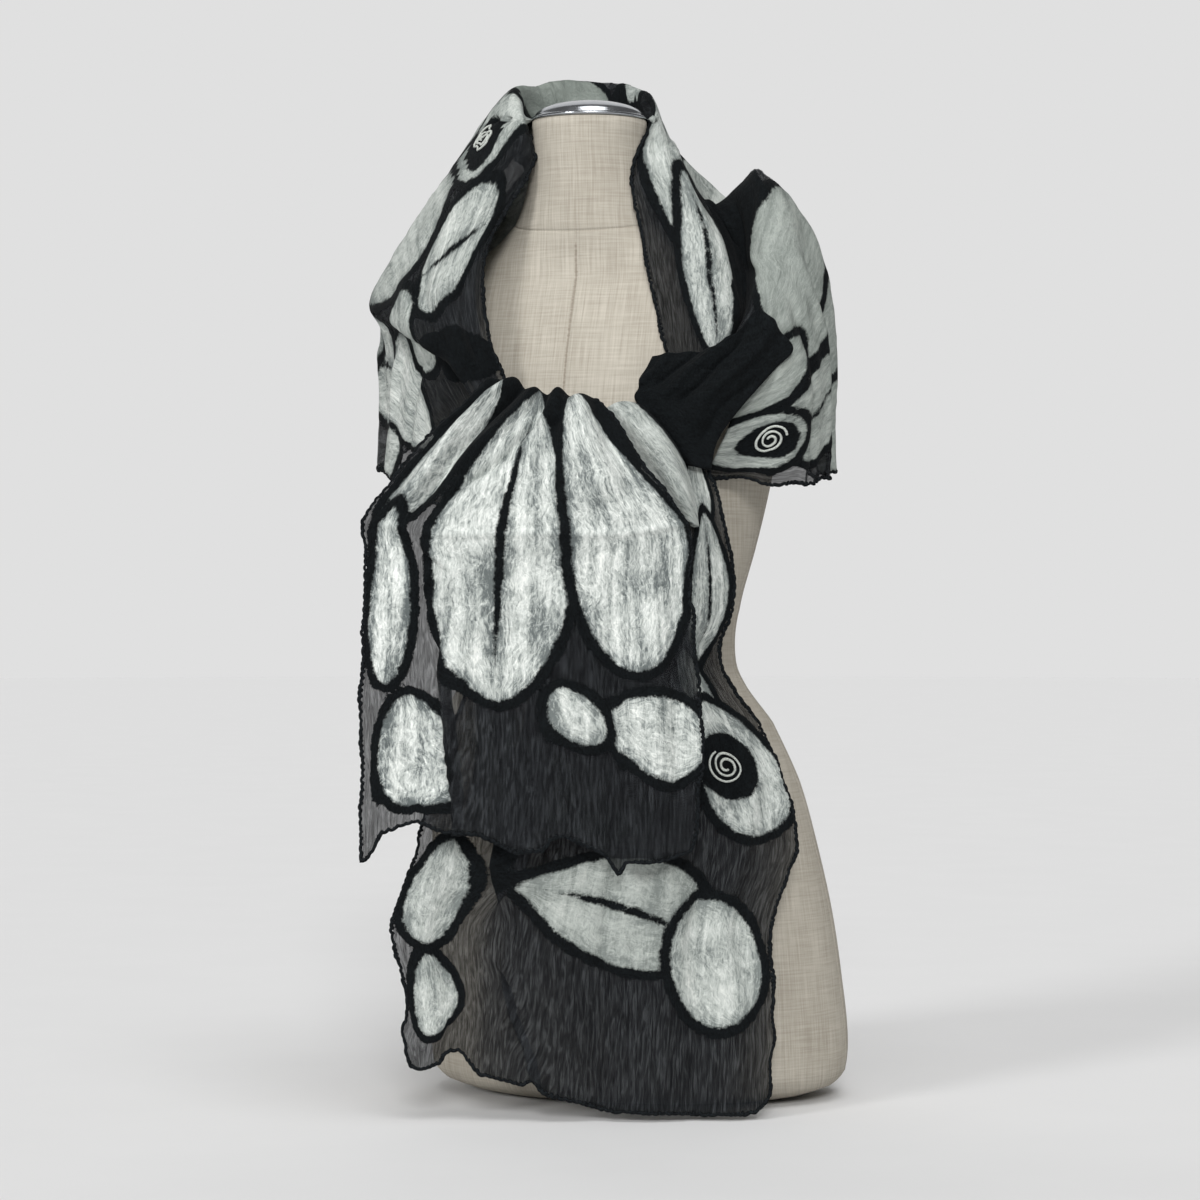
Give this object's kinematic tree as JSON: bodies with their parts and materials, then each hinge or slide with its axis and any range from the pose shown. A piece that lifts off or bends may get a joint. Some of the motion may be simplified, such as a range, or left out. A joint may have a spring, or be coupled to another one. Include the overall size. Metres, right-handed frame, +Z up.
{
  "type": "felted scarf on a dress form",
  "caption": "Long sheer scarf with felted wool patches, wound behind the neck, crossed and flipped over on the chest, its ends hanging on a limbless linen dress form.",
  "frame": {"origin": "middle of the dress form's flat underside", "axes": "+Z up, the dress form faces -Y"},
  "size_m": [0.3579, 0.3591, 0.7765],
  "materials": {
    "linen": "natural slubbed linen, matte",
    "chrome": "polished",
    "wool_felt": "off-white and grey wool felted on sheer black silk, matte",
    "black_felt": "sheer black silk chiffon with black wool, matte"
  },
  "bodies": {
    "root": {"form_body": "linen", "form_neck_cap": "chrome", "scarf_collar": "wool_felt", "scarf_right_shoulder": "wool_felt", "scarf_right_drape": "wool_felt", "scarf_left_lapel": "wool_felt", "scarf_left_cape": "wool_felt", "scarf_crossing": "black_felt", "scarf_knot_fold": "wool_felt", "scarf_upper_end": "wool_felt", "scarf_under_end": "black_felt"}
  },
  "joints": []
}
